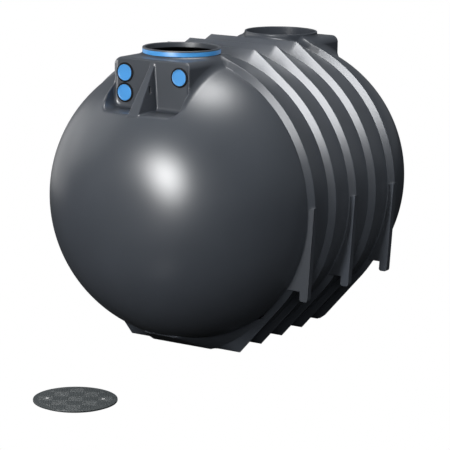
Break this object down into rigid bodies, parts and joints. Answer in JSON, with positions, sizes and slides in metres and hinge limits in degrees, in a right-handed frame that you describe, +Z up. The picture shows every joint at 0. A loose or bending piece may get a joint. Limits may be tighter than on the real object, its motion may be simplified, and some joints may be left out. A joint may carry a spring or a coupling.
{
  "type": "underground water tank",
  "caption": "Horizontal rotationally moulded underground water tank with hoop ribs, domed ends, side legs, shoulders with manhole necks and sealed pipe inlets.",
  "frame": {"origin": "middle of the flat base on the ground, halfway between the first and the last hoop rib", "axes": "+X across the tank, +Y along the tank from the open manhole towards the blind one, +Z up"},
  "size_m": [2.122, 3.971, 2.147],
  "materials": {
    "tank_grey": "smooth dark blue-grey polyethylene with a soft sheen",
    "seal_blue": "bright blue sealing band",
    "plug_blue": "bright blue moulded plug",
    "seal_black": "black rubber"
  },
  "bodies": {
    "root": {"front_dome": "tank_grey", "front_brow_right": "tank_grey", "front_brow_left": "tank_grey", "front_keel": "tank_grey", "rib_bay_1": "tank_grey", "rib_bay_2": "tank_grey", "rib_bay_3": "tank_grey", "rib_bay_4": "tank_grey", "rib_bay_5": "tank_grey", "rear_dome": "tank_grey", "rear_keel": "tank_grey", "leg_front_right": "tank_grey", "leg_front_left": "tank_grey", "leg_middle_right": "tank_grey", "leg_middle_left": "tank_grey", "leg_rear_right": "tank_grey", "leg_rear_left": "tank_grey", "front_shoulder": "tank_grey", "inlet_panel": "tank_grey", "recess_floor": "tank_grey", "recess_cheek_right": "tank_grey", "recess_cheek_left": "tank_grey", "recess_web": "tank_grey", "front_neck": "tank_grey", "neck_seal_ring": "seal_blue", "rear_shoulder": "tank_grey", "rear_neck": "tank_grey", "rear_neck_floor": "tank_grey", "pipe_seal_upper_left": "seal_black", "pipe_seal_lower_left": "seal_black", "pipe_seal_right": "seal_black", "pipe_plug_upper_left": "plug_blue", "pipe_plug_lower_left": "plug_blue", "pipe_plug_right": "plug_blue", "manhole_cover": "tank_grey"}
  },
  "joints": []
}
